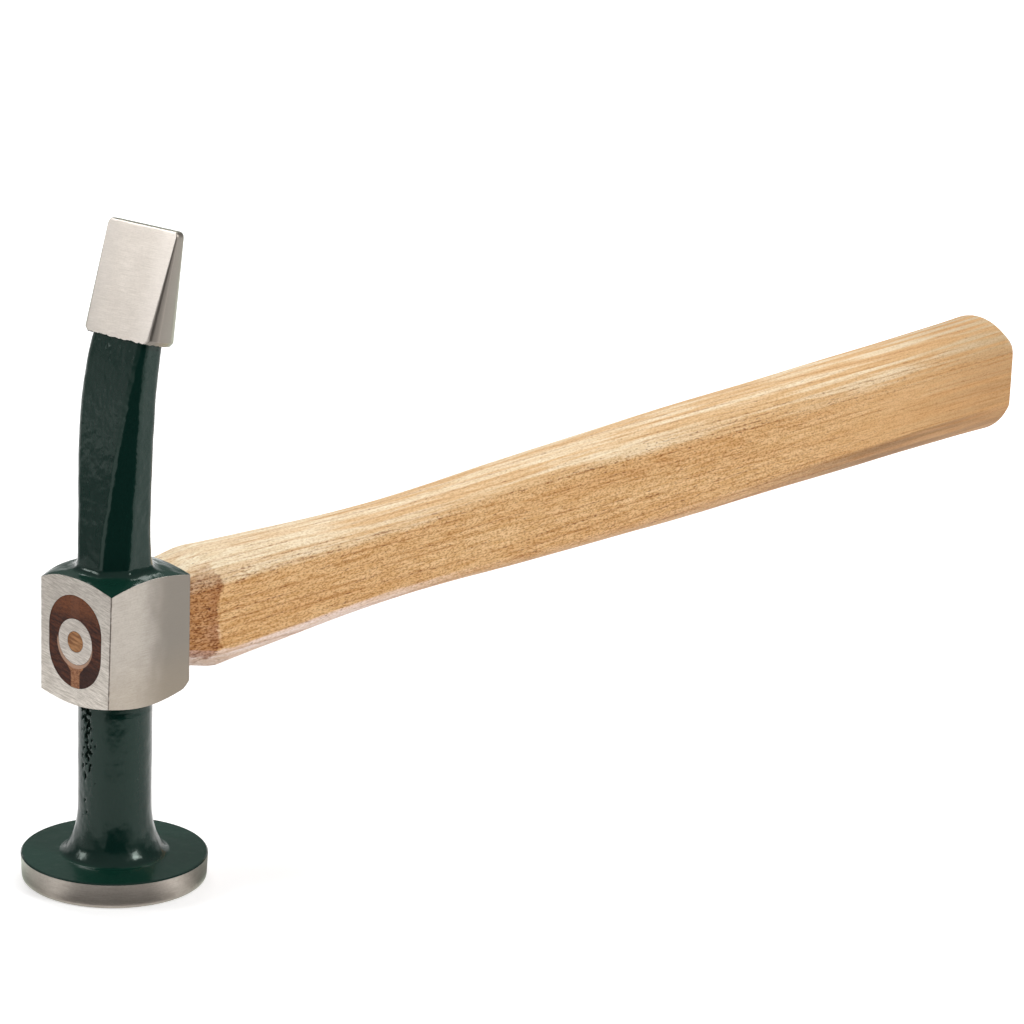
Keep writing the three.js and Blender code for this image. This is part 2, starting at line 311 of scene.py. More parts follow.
def under_height(x, y):
    """The height of the block's underside: a blunt round cone, worn at the two corners by the handle."""
    to_corner = math.hypot(block_rear - x, block_width / 2 - abs(y))
    worn = block_corner_wear * max(0, 1 - to_corner / block_wear_reach) ** 2
    return block_bottom + block_under_slope * (math.hypot(x, y) - corner_radius) + worn


def block():
    """The block, with a turned end above and below, as on a nut."""
    cap_steps = 16
    wall_steps = 6
    plan = block_plan()

    def cap_ring(share, height):
        return [(share * x, share * y, height(share * x, share * y)) for x, y in plan]

    rings = [cap_ring(i / cap_steps, under_height) for i in range(1, cap_steps + 1)]
    for i in range(1, wall_steps):
        share = i / wall_steps
        rings.append([(x, y, lerp(under_height(x, y), crown_height(x, y), share)) for x, y in plan])
    rings += [cap_ring(i / cap_steps, crown_height) for i in range(cap_steps, 0, -1)]
    return loft("block", rings)


def head_section(x, z, lean, outline):
    """An outline of (depth, width) set square to a line in the XZ plane that leans by an angle."""
    return [(x + d * math.cos(lean), w, z - d * math.sin(lean)) for d, w in outline]


def neck_middle(share):
    """The neck's middle line: upright at the foot, then bending ever more towards the handle."""
    return -neck_foot_offset + neck_sweep * share**4, neck_foot_height + neck_length * share


def neck_section(share, margin):
    """The neck's section at a share of its height, let out by a margin."""
    x, z = neck_middle(share)
    d = lerp(neck_foot_depth, neck_throat_depth, share) / 2 + margin
    spread = neck_spread * math.sin(math.pi * share**1.5)
    w = lerp(neck_foot_width, neck_throat_width, share) / 2 + spread + margin
    c = lerp(neck_foot_chamfer, neck_throat_chamfer, share**1.3)
    corners = [
        (-d, w - c), (c - d, w), (d - c, w), (d, w - c), (d, c - w), (d - c, -w), (c - d, -w), (-d, c - w)]
    return head_section(x, z, chisel_lean * share**3, neck_outline(corners))


def neck_outline(corners):
    """An outline of the neck through eight corners."""
    curve_steps, flat_steps = 4, 6
    return eased([(Vector(corner), neck_edge_ease) for corner in corners], curve_steps, flat_steps)


def neck():
    """The neck, from inside the block, over a foot fillet that lies on the crown, into the chisel."""
    fillet_steps = 10
    neck_steps = 100
    first_share = 0.03
    wall = neck_section(0, 0)
    flare = neck_section(0, neck_foot_fillet)
    rings = [[(x, y, crown_height(x, y) - past) for x, y, z in flare]]
    for i in range(fillet_steps + 1):
        share = i / fillet_steps
        ring = []
        for (x, y, _), (out_x, out_y, _) in zip(wall, flare):
            low = Vector((out_x, out_y, crown_height(out_x, out_y)))
            turn = Vector((x, y, crown_height(x, y)))
            high = Vector((x, y, turn.z + neck_foot_fillet))
            ring.append(low.lerp(turn, share).lerp(turn.lerp(high, share), share))
        rings.append(ring)
    for i in range(neck_steps + 1):
        rings.append(neck_section(lerp(first_share, 1, i / neck_steps), 0))
    x, z = chisel_middle(chisel_length / 4, 0)
    d, w = neck_throat_depth / 3, neck_throat_width / 3
    corners = [(-d, w), (0, w), (d, w), (d, 0), (d, -w), (0, -w), (-d, -w), (-d, 0)]
    rings.append(head_section(x, z, chisel_lean, neck_outline(corners)))
    return loft("neck", rings)


def chisel_middle(distance, back):
    """The place at a distance along the chisel from the neck's end, set back towards the handle."""
    x, z = neck_middle(1)
    cos, sin = math.cos(chisel_lean), math.sin(chisel_lean)
    return x + back * cos + distance * sin, z - back * sin + distance * cos


def along_chisel(x, z):
    """How far a place lies along the chisel from the neck's end, in numbers or in values of a material."""
    neck_x, neck_z = neck_middle(1)
    return (x - neck_x) * math.sin(chisel_lean) + (z - neck_z) * math.cos(chisel_lean)


def chisel_section(distance, width_bevel, thickness_bevel):
    """The chisel's section at a distance from its base, drawn in by bevels."""
    share = distance / chisel_length
    x, z = chisel_middle(distance, chisel_set_back)
    d = lerp(chisel_base_thickness, chisel_tip_thickness, share) / 2 - thickness_bevel
    w = lerp(chisel_base_width, chisel_tip_width, share) / 2 - width_bevel
    tip_edge_share = 1 / 8
    edge = lerp(1, tip_edge_share, share)
    a, b = chisel_edge_depth * edge, chisel_edge_width * edge
    bulge = chisel_side_bulge * edge
    ease = chisel_edge_ease * edge
    corners = [
        (-d, w - b, ease), (a - d, w - bulge, ease), (0, w, d), (d - a, w - bulge, ease), (d, w - b, ease),
        (d, b - w, ease), (d - a, bulge - w, ease), (0, -w, d), (a - d, bulge - w, ease), (-d, b - w, ease),
    ]
    curve_steps, flat_steps = 4, 4
    ends = [(Vector((depth, width)), reach) for depth, width, reach in corners]
    return head_section(x, z, chisel_lean, eased(ends, curve_steps, flat_steps))


def chisel():
    """The cross chisel: ground flat on both faces, with eased corners at its tip."""
    body_steps = 12
    round_steps = 8
    rings = [chisel_section(0, chisel_foot_bevel, 0)]
    for i in range(body_steps):
        distance = lerp(chisel_foot_bevel, chisel_length - chisel_corner_round, i / body_steps)
        rings.append(chisel_section(distance, 0, 0))
    for i in range(round_steps + 1):
        angle = math.pi / 2 * i / round_steps
        distance = chisel_length - chisel_corner_round * (1 - math.sin(angle))
        inset = chisel_corner_round * (1 - math.cos(angle))
        rings.append(chisel_section(distance, inset, chisel_tip_bevel * (i / round_steps) ** 6))
    return loft("chisel", rings)


def obround_ring(x, half_width, half_height):
    """An obround ring across X, wide along Y and tall along Z."""
    arc_steps = 24
    points = []
    for side in (1, -1):
        for i in range(arc_steps + 1):
            angle = math.pi * i / arc_steps
            y = -side * half_width * math.cos(angle)
            z = side * (half_width * math.sin(angle) + half_height - half_width)
            points.append((x, y, eye_axis_height + z))
    return points


def eye_space(name, margin, start, end):
    """The space of the eye, drawn in all round by a margin, between two places along X."""
    steps = 16
    rings = []
    for i in range(steps + 1):
        x = lerp(start, end, i / steps)
        waist = eye_waist_inset * math.cos(math.pi / 2 * min(abs(x) / block_rear, 1))
        rings.append(obround_ring(x, eye_width / 2 - waist - margin, eye_height / 2 - waist - margin))
    return loft(name, rings)


def forge_marks(point):
    """How far the forged and painted skin stands out at a point, in millimetres."""
    x, y, z = point
    swell, swell_size = 0.06, 6
    lump, lump_size = 0.025, 2.2
    neck_gain, neck_lump, neck_lump_size = 1.5, 0.2, 3
    foot_lump, foot_shift = 0.13, Vector((0, 0, 4))
    seam_lump, seam_lump_size, pit_depth = 0.12, 0.9, 0.3
    stand = swell * noise.noise(point / swell_size) + lump * noise.noise(point / lump_size)
    if z > block_bottom:
        foot = smooth_step(neck_foot_height + 5, neck_foot_height + 1, z)
        foot *= smooth_step(block_top - 1, block_top + 1, z)
        return stand * neck_gain + neck_lump * foot * noise.noise(point / neck_lump_size)
    foot = smooth_step(stem_radius + 3.4, stem_radius + 0.6, math.hypot(x, y))
    foot *= smooth_step(fillet_rise + 5, fillet_rise - 2, z)
    stand += foot_lump * foot * noise.noise(point / lump_size + foot_shift)
    stand += seam_lump * seam_share(point) * noise.noise(point / seam_lump_size)
    stand -= pit_depth * pit_share(point)
    return stand * smooth_step(disc_height - 0.2, disc_height + 0.8, z)


def seam_share(point):
    """How near a point of the stem lies to the two forging seams, from 0 to 1."""
    x, y, z = point
    front_turn, front_spread, rear_turn, rear_spread = 5, 15, 180, 10
    angle = math.degrees(math.atan2(y, -x))
    front = math.exp(-((angle - front_turn) / front_spread) ** 2)
    rear = math.exp(-((abs(angle) - rear_turn) / rear_spread) ** 2)
    return (front + rear) * smooth_step(disc_height + 4, disc_height + 9, z)


def pit_share(point):
    """How deep the scale pits beside the seams are at a point, from 0 to 1: crowded under the block."""
    if point.z > block_bottom:
        return 0
    sizes, shift, weight = (0.7, 0.7, 0.95), Vector((3, 1, 7)), 0.75
    crowd = seam_share(point) * lerp(0.4, 1, smooth_step(20, 31, point.z))
    spot = noise.noise(Vector([part / size for part, size in zip(point, sizes)]) + shift)
    return smooth_step(0.6, 0.76, crowd * weight + spot * weight)


def is_ground(point):
    """Whether a point lies on a face that was ground after painting."""
    x, y, z = point
    near, rim, below_chisel = 0.05, 1, 0.6
    on_block = wall_foot < z < neck_foot_height and (
        abs(x) > block_rear - block_edge_ease - near or abs(y) > block_width / 2 - block_edge_ease - near)
    on_disc = z < disc_height + near and math.hypot(x, y) > disc_radius - rim or z < rim
    return on_block or on_disc or along_chisel(x, z) > -below_chisel


def mark_skin(head):
    """Writes how far each point lies inside the block's walls and upright edges, and its pit's depth."""
    names = ("inside_wall", "inside_edge", "pits")
    marks = [head.data.attributes.new(name, "FLOAT", "POINT") for name in names]
    for vertex, wall, edge, pit in zip(head.data.vertices, *(mark.data for mark in marks)):
        point = vertex.co / MM
        depths = (block_rear - abs(point.x), block_width / 2 - abs(point.y))
        wall.value = min(depths)
        edge.value = max(depths)
        pit.value = pit_share(point)


def lean_near_edge(head):
    """Leans the block's near upright edge a little, as its cheek was ground."""
    below = 4
    for vertex in head.data.vertices:
        x, y, z = vertex.co / MM
        if block_bottom - below < z < neck_foot_height and y < 0:
            forward = (block_rear - x) / block_length
            up = (z - block_middle) / (block_height / 2)
            vertex.co.y += near_edge_twist * forward * up * y / (block_width / 2) * MM


def roughen(head):
    """Moves the forged skin in and out by its marks."""
    head.data.update()
    near = 0.1
    moves = []
    for vertex in head.data.vertices:
        point = vertex.co / MM
        up = abs(point.z - eye_axis_height)
        in_eye = abs(point.y) < eye_width / 2 + near and up < eye_height / 2 + near
        if not is_ground(point) and not (in_eye and block_bottom < point.z < block_top):
            moves.append((vertex, vertex.normal * forge_marks(point) * MM))
    for vertex, move in moves:
        vertex.co += move


def hammer_head():
    """The forged head in one piece, with its eye."""
    head = joined(striking_end(), [block(), neck(), chisel()], "UNION")
    head = joined(head, [eye_space("eye", 0, block_front - past, block_rear + past)], "DIFFERENCE")
    head.name = head.data.name = "forged_head"
    mark_skin(head)
    roughen(head)
    lean_near_edge(head)
    shade(head, crease_degrees=32)
    return head


# Handle and wedges.

def handle_section(x, half_height, half_width, ease=handle_edge_round):
    """A handle section: flat cheeks, and a crowned top and bottom with eased edges."""
    edge_steps, crown_steps, cheek_steps = 5, 12, 8
    crown = max(handle_crown_radius, half_width)
    crown_middle = half_height - crown
    ease_y = half_width - ease
    rise = math.sqrt((crown - ease) ** 2 - ease_y**2)
    ease_z = crown_middle + rise
    turn = math.atan2(rise, ease_y)
    quarter = []
    for i in range(1, cheek_steps + 1):
        quarter.append((half_width, ease_z * i / cheek_steps))
    for i in range(1, edge_steps + 1):
        angle = turn * i / edge_steps
        quarter.append((ease_y + ease * math.cos(angle), ease_z + ease * math.sin(angle)))
    for i in range(1, crown_steps):
        angle = lerp(turn, math.pi / 2, i / crown_steps)
        quarter.append((crown * math.cos(angle), crown_middle + crown * math.sin(angle)))
    right = [(half_width, 0)] + quarter + [(0, half_height)]
    upper = right + [(-y, z) for y, z in reversed(quarter)]
    lower = [(-y, -z) for y, z in upper]
    return [(x, y, eye_axis_height + z) for y, z in upper + lower]


# Half the handle's height and half its width, as (place, size).
handle_heights = [
    (12.6, 12.95), (21.6, 12.4), (30, 12.02), (39, 11.58), (49, 11.12), (60, 10.79), (74, 10.68),
    (89, 10.98), (99, 11.36), (109, 11.73), (119, 12), (134, 12.38), (149, 12.72), (164, 13.14),
    (179, 13.41), (194, 13.52), (209, 13.66), (225, 13.93), (243, 14.2), (260, 14.35), (278, 14.65),
    (292, 14.92), (302.6, 15.25),
]
handle_widths = [
    (12.6, 10.4), (34, 9.75), (59, 9.1), (84, 8.58), (104, 8.5), (129, 8.9), (154, 9.6), (179, 10.5),
    (204, 11.1), (239, 11.5), (274, 11.8), (302.6, 12),
]
# Where the shoulder's bevel ends on the cheek, as (height from the eye's axis, place).
shoulder_rims = [
    (-13, 5), (-10, 6.2), (-7.8, 8), (-6, 9.2), (-3, 8.6), (0, 8), (4.7, 9), (7.2, 9.9), (10.2, 6.6),
    (13, 4.9),
]
shoulder_end = 16
# The outline of the oil stain on the cheek, as (place, height from the eye's axis).
stain_outline = [
    (-1, 8.4), (3.9, 9.8), (6.6, 10.7), (8.8, 11.2), (9.1, 9.9), (9.8, 7.6), (8.1, 4.5), (7.9, 0),
    (8.1, -3.5), (9.1, -6), (7.3, -7.2), (6.4, -8.3), (3.7, -7.6), (-1, -6.2),
]


def handle_shaft():
    """The shaped part of the handle, from its seat on the block to the bevelled butt."""
    shoulder_steps = 40
    body_steps = 170
    rim_at = handle_length - butt_bevel_length
    places = [lerp(glue_line, shoulder_end, i / shoulder_steps) for i in range(shoulder_steps)]
    places += [lerp(shoulder_end, rim_at, i / body_steps) for i in range(body_steps + 1)]
    rings = []
    for place in places:
        half_height = flow(handle_heights, max(place, handle_heights[0][0]))
        half_width = flow(handle_widths, max(place, handle_widths[0][0]))
        section = handle_section(block_rear + place, half_height, half_width)
        rings.append([bevelled(point, place, half_height, half_width) for point in section])
    butt_shares = (0.04, 0.12, 0.3, 0.5, 0.75, 0.94, 0.985, 1)
    for share in butt_shares:
        inset = butt_bevel_inset * share**1.15
        place = rim_at + butt_bevel_length * share
        half_height = flow(handle_heights, rim_at) - inset
        half_width = flow(handle_widths, rim_at) - inset
        ease = handle_edge_round + butt_corner_round * share
        section = handle_section(block_rear + place, half_height, half_width, ease)
        rings.append([heeled(point, share, half_height) for point in section])
    return loft("handle_shaft", rings)


def heeled(point, share, half_height):
    """A point of the butt drawn in where its lower corners were rounded off."""
    x, y, z = point
    down = max(0, (eye_axis_height - z) / half_height)
    lift = butt_heel_lift * share * down * half_height
    return x, y * (1 - butt_heel_draw * share * down**2), z + lift


def bevelled(point, place, half_height, half_width):
    """A point of the handle drawn in by the shoulder's bevel."""
    x, y, z = point
    up = z - eye_axis_height
    rim = flow(shoulder_rims, up)
    cheek = shoulder_bevel_inset * max(0, 1 - place / rim)
    if up > 0:
        drop = shoulder_top_drop * max(0, 1 - place / shoulder_top_length)
    else:
        drop = shoulder_low_drop * max(0, 1 - place / shoulder_low_length)
    return x, y * (1 - cheek / half_width), eye_axis_height + up * (1 - drop / half_height)


def inside_outline(outline, x, y):
    """How far a place lies inside an outline, below 0 outside it."""
    inside = False
    nearest = math.inf
    place = Vector((x, y))
    for i in range(len(outline)):
        a, b = Vector(outline[i - 1]), Vector(outline[i])
        side = b - a
        along = min(max((place - a).dot(side) / side.length_squared, 0), 1)
        nearest = min(nearest, (place - a - side * along).length)
        if (a.y > y) != (b.y > y) and x < a.x + (y - a.y) / side.y * side.x:
            inside = not inside
    return nearest if inside else -nearest


def mark_stain(shaft):
    """Writes how far each point of the shoulder lies inside the stain's outline, in millimetres."""
    inside = shaft.data.attributes.new("in_stain", "FLOAT", "POINT")
    for vertex, value in zip(shaft.data.vertices, inside.data):
        point = vertex.co / MM
        value.value = inside_outline(stain_outline, point.x - block_rear, point.z - eye_axis_height)


def ring_wedge_round(name, margin, start):
    """The ring wedge without its bore, let out by a margin, from a depth before or behind the front."""
    taper = (ring_wedge_radius - ring_wedge_tip_radius) / ring_wedge_depth
    return eye_turned(name, [
        (ring_wedge_radius + margin - taper * start, start),
        (ring_wedge_tip_radius + margin, ring_wedge_depth + margin),
    ])


def eye_turned(name, profile):
    """A solid of revolution about the eye's axis over a profile of (radius, depth from the front face)."""
    facets = 96
    rings = []
    for radius, depth in profile:
        rings.append([(block_front + depth, y, eye_axis_height + z) for y, z in circle(radius, facets)])
    return loft(name, rings)


def wood_wedge_slab(name, margin, start):
    """The wooden wedge's taper, let out by a margin, from a place before the front face."""
    taper = (wood_wedge_thickness - wood_wedge_tip_thickness) / wood_wedge_depth / 2
    reach = eye_height
    rings = []
    for depth in (start, wood_wedge_depth + margin):
        half = wood_wedge_thickness / 2 - taper * depth + margin
        corners = ((-half, -reach), (half, -reach), (half, reach), (-half, reach))
        rings.append([(block_front + depth, y, eye_axis_height + z) for y, z in corners])
    return loft(name, rings)


def ring_groove(margin):
    """The tube that the ring wedge takes up in the wood, let out by a margin and open to the front."""
    radius = ring_wedge_bore - margin
    core = eye_turned("core", [(radius, -2 * past), (radius, ring_wedge_depth + 2 * past)])
    return joined(ring_wedge_round("groove", margin, -past), [core], "DIFFERENCE")


def handle():
    """The handle with its tenon, slit for the wooden wedge and grooved for the ring wedge."""
    tenon = eye_space("tenon", glue_line, block_front + glue_line, block_rear + past)
    shaft = joined(handle_shaft(), [tenon], "UNION")
    cuts = [wood_wedge_slab("slit", wedge_fit, -past), ring_groove(glue_line)]
    shaft = joined(shaft, cuts, "DIFFERENCE")
    shaft.name = shaft.data.name = "hickory_handle"
    mark_stain(shaft)
    shade(shaft, crease_degrees=24)
    return shaft


def wooden_wedge():
    """The wooden wedge, trimmed to the eye, with the ring wedge's groove in it."""
    wedge = wood_wedge_slab("wedge_strip", 0, -past)
    trim = eye_space("trim", glue_line, block_front + glue_line, block_rear)
    wedge = joined(wedge, [trim], "INTERSECT")
    wedge = joined(wedge, [ring_groove(glue_line)], "DIFFERENCE")
    shade(wedge, crease_degrees=30)
    return wedge


def ring_wedge():
    """The hollow steel ring wedge, flush with the front face."""
    ring = ring_wedge_round("steel_ring", 0, glue_line)
    bore = eye_turned("bore", [(ring_wedge_bore, -past), (ring_wedge_bore, ring_wedge_depth + past)])
    ring = joined(ring, [bore], "DIFFERENCE")
    shade(ring, crease_degrees=30)
    return ring


# Materials.

class Value:
    """A number, colour or direction that varies over a surface, and the sums that make others of it."""

    def __init__(self, socket):
        self.socket = socket
        self.tree = socket.id_data

    def math(self, operation, other=0.0):
        return new_value(self.tree, "ShaderNodeMath", {0: self, 1: other}, operation=operation)

    def __add__(self, other):
        return self.math("ADD", other)

    def __sub__(self, other):
        return self.math("SUBTRACT", other)

    def __mul__(self, other):
        return self.math("MULTIPLY", other)

    def __gt__(self, other):
        return self.math("GREATER_THAN", other)

    def __lt__(self, other):
        return self.math("LESS_THAN", other)

    def __abs__(self):
        return self.math("ABSOLUTE")

    def most(self, other):
        return self.math("MAXIMUM", other)

    def parts(self):
        """The X, Y and Z parts of a place or a direction."""
        return [Value(part) for part in new_node(self.tree, "ShaderNodeSeparateXYZ", {0: self}).outputs]

    def ramp(self, low, high, start=0.0, end=1.0):
        """start up to low, end from high on, and an even curve between them."""
        inputs = {"Value": self, "From Min": low, "From Max": high, "To Min": start, "To Max": end}
        return new_value(self.tree, "ShaderNodeMapRange", inputs, interpolation_type="SMOOTHSTEP")

    def blend(self, a, b):
        """The number a where this share is 0, b where it is 1."""
        return new_value(self.tree, "ShaderNodeMix", {0: self, 2: a, 3: b}, data_type="FLOAT")

    def mix(self, a, b, blend="MIX"):
        """The colour a where this share is 0, b where it is 1."""
        inputs = {0: self, 6: a, 7: b}
        return new_value(self.tree, "ShaderNodeMix", inputs, 2, data_type="RGBA", blend_type=blend)


def feed(socket, value):
    """Links a value to a node's socket, or sets the socket to a number or colour."""
    if isinstance(value, Value):
        socket.id_data.links.new(value.socket, socket)
    else:
        socket.default_value = value


def new_node(tree, kind, inputs, **settings):
    node = tree.nodes.new(kind)
    for name, setting in settings.items():
        setattr(node, name, setting)
    for key, value in inputs.items():
        feed(node.inputs[key], value)
    return node


def new_value(tree, kind, inputs, output=0, **settings):
    """What a new node gives."""
    return Value(new_node(tree, kind, inputs, **settings).outputs[output])


def length(a, b):
    """The length of a line from its parts along two axes."""
    return (a * a + b * b).math("SQRT")


def layered(colour, *layers):
    """A colour with others laid over it, each as (share, colour)."""
    for share, over in layers:
        colour = share.mix(colour, over)
    return colour


class Surface:
    """A material, and the places, directions and noise that its look is made from."""

    def __init__(self, name):
        self.material = bpy.data.materials.new(name)
        self.material.use_nodes = True
        self.place = self.value("ShaderNodeTexCoord", {}, "Object")
        self.x, self.y, self.z = (part * (1 / MM) for part in self.place.parts())

    def value(self, kind, inputs, output=0, **settings):
        return new_value(self.material.node_tree, kind, inputs, output, **settings)

    def facing(self, normal):
        """The X, Y and Z parts of a normal of the surface."""
        return self.value("ShaderNodeNewGeometry", {}, normal).parts()

    def attribute(self, name):
        """A value that the mesh carries for each point."""
        return self.value("ShaderNodeAttribute", {}, "Fac", attribute_name=name)

    def turned(self, degrees):
        """The place turned about the axes by angles in degrees."""
        turn = [math.radians(angle) for angle in degrees]
        return self.value("ShaderNodeMapping", {"Vector": self.place, "Rotation": turn})

    def grain(self, sizes, detail=2.0, place=None):
        """Noise whose features have these sizes along the axes, in millimetres."""
        scale = [1 / (size * MM) for size in sizes]
        inputs = {0: place or self.place, 1: scale}
        stretched = self.value("ShaderNodeVectorMath", inputs, operation="MULTIPLY")
        return self.value("ShaderNodeTexNoise", {"Vector": stretched, "Scale": 1.0, "Detail": detail})

    def bump(self, height, depth):
        """A bump whose height runs from 0 to 1 over a depth in millimetres."""
        return self.value("ShaderNodeBump", {"Height": height, "Distance": depth * MM})

    def finish(self, sockets):
        shader = self.material.node_tree.nodes["Principled BSDF"]
        for name, value in sockets.items():
            feed(shader.inputs[name], value)
        return self.material


def srgb(red, green, blue):
    """A colour given as it shows on a screen, from 0 to 255."""
    def linear(value):
        share = value / 255
        return share / 12.92 if share <= 0.04045 else ((share + 0.055) / 1.055) ** 2.4
    return (linear(red), linear(green), linear(blue), 1)


# Ground steel: the facing from which a face lies square to an axis, and the depth of the brush lines.
square_on = 0.95
brush_depth = 0.008


def steel_values(surface):
    """The look of ground steel: brush lines that slant on the block's ends and lie level elsewhere."""
    on_block = (surface.z < neck_foot_height) * (surface.z > wall_foot)
    on_end = (abs(surface.facing("True Normal")[0]) > square_on) * on_block
    level = surface.grain((3.2, 3.2, 0.12), 3.0)
    slanted = surface.grain((3, 2.4, 0.17), 3.0, surface.turned((-11, 0, 0)))
    cloud = surface.grain((4, 4, 2.4))
    speck = surface.grain((0.5, 0.5, 0.4), 3.0)
    tone = on_end.blend(level.ramp(0.25, 0.75, 0.2, 0.65), slanted.ramp(0.32, 0.62, 0.1, 1.0))
    colour = layered(
        tone.mix(srgb(174, 165, 155), srgb(220, 212, 203)),
        (cloud.ramp(0.35, 0.7, 0.0, 0.3), srgb(178, 169, 160)),
        (speck.ramp(0.4, 0.7, 0.0, 0.2), srgb(146, 137, 129)),
    )
    return colour, tone.blend(0.42, 0.33), on_end.blend(level, slanted), on_block


def worn_and_shaded_steel(surface, colour, on_block, on_tip):
    """Ground steel nicked along the block's upright edges and browner low on its cheeks, with painted shade
    and highlight: the cheeks darker towards the handle, the rim darker towards the floor, and the chisel's
    faces, sides and tip darker or lighter by where they face.
    """
    y, z = surface.y, surface.z
    _, across, up = surface.facing("True Normal")
    sideways = abs(across)
    on_cheek = (sideways > square_on) * on_block
    towards_handle = surface.grain((3, 3, 5), 1.0) * 5.0 + surface.x
    flank_shade_colour = sideways.ramp(0.93, 0.97).mix(srgb(150, 142, 133), srgb(128, 122, 114))
    nicked = surface.grain((0.7, 0.7, 0.9)) * 0.5 + surface.attribute("inside_edge")
    return layered(
        colour,
        # Painted shade: the cheeks darker towards the handle.
        (towards_handle.ramp(-3, 8.5, 0.25, 0.95) * on_cheek, srgb(128, 121, 113)),
        (z.ramp(eye_axis_height, block_bottom, 0.0, 0.3) * on_cheek, srgb(160, 144, 122)),
        # Painted shade: the rim darker towards the floor.
        (z.ramp(5, 0.6, 0.1, 0.35) * (z < disc_height), srgb(128, 118, 108)),
        # Painted shade and painted highlight: the chisel darker towards +Y and lighter towards -Y.
        (y.ramp(3, 9.5, 0.0, 0.45) * on_tip, srgb(168, 162, 156)),
        (y.ramp(-3, -8, 0.2, 0.42) * on_tip, srgb(236, 229, 222)),
        # Painted reflection: the chisel's up-facing tip bevel darkened.
        (up.ramp(0.45, 0.7, 0.0, 0.8) * on_tip, srgb(112, 110, 100)),
        # Painted shade: the chisel's chamfers and sides darker, by which way they face.
        (sideways.ramp(0.2, 0.5, 0.0, 0.9) * on_tip, flank_shade_colour),
        (nicked.ramp(0.56, 0.36, 0.0, 0.65) * on_block, srgb(104, 94, 86)),
    )


def head_finish():
    """Gloss paint on the forged skin, painted greener and lighter where it faces up as painted light from
    above, and brushed steel on the ground faces.
    """
    surface = Surface("forged_head_finish")
    steel_colour, steel_roughness, lines, on_block = steel_values(surface)
    ragged = surface.grain((0.9, 0.9, 0.9), 3.0) - 0.5
    side = (ragged * 0.1 - surface.attribute("inside_wall") > -0.08) * on_block
    rim = surface.z < disc_height - disc_top_bevel - 0.05
    tip = ragged * 0.75 + along_chisel(surface.x, surface.z) > 0.1
    ground = side.most(rim).most(tip)

    pits = surface.attribute("pits")
    pitted = pits.ramp(0.15, 0.6)
    # Painted light: the paint is painted greener and lighter where it faces up, as if lit from above.
    painted_top_light = surface.facing("Normal")[2].ramp(0.72, 0.98)
    paint = layered(painted_top_light.mix(srgb(9, 37, 31), srgb(16, 54, 43)), (pitted, srgb(4, 12, 9)))
    peel = surface.grain((1.3, 1.3, 1.6), 1.0)
    dents = surface.grain((2.4, 2.4, 3), 1.0)
    neck_gain = surface.z.ramp(neck_foot_height, neck_foot_height + 12, 1.0, 2.0)
    paint_bump = surface.bump((dents * 1.4 + peel) * neck_gain, 0.05)
    bumps = {0: ground, 4: paint_bump, 5: surface.bump(lines, brush_depth)}
    return surface.finish({
        "Base Color": ground.mix(paint, worn_and_shaded_steel(surface, steel_colour, on_block, tip)),
        "Metallic": ground.most(pitted),
        "Specular IOR Level": 0.34,
        "Specular Tint": (0.84, 1.0, 0.91, 1),
        "Roughness": ground.blend(pits.ramp(0.2, 0.7, 0.19, 0.6), steel_roughness),
        "Normal": surface.value("ShaderNodeMix", bumps, 1, data_type="VECTOR"),
    })


def ring_finish():
    """The brushed steel of the ring wedge."""
    surface = Surface("ring_wedge_steel")
    colour, roughness, lines, _ = steel_values(surface)
    normal = surface.bump(lines, brush_depth)
    return surface.finish({"Base Color": colour, "Metallic": 1.0, "Roughness": roughness, "Normal": normal})


# Hickory: the gap between growth rings, and the places along X between which its look changes, among them
# its painted light on the crown and underside.
ring_gap = 1.2
pale_shoulder = (80, 20)
pale_underside = (60, 110)
pale_underside_end = (260, 180)
brown_underside = (190, 270)
calm_end = (200, 290)
brown_end = (250, 310)


def growth_lines(surface, along):
    """The early wood of the growth rings and its thin dark line, both fading in and out."""
    wander = surface.grain((300, 20, 20), 1.0, along)
    rings = wander * 6.0 + along.parts()[2] * (1 / (ring_gap * MM))
    ring = rings.math("FRACT")
    fading = surface.grain((36, 1.6, 1.6), 2.0, along).ramp(0.4, 0.6)
    line = ring.ramp(0.34, 0.12) * ring.ramp(0.0, 0.1) * (fading * 0.8 + 0.2)
    return ring.ramp(0.6, 0.0) * fading, line


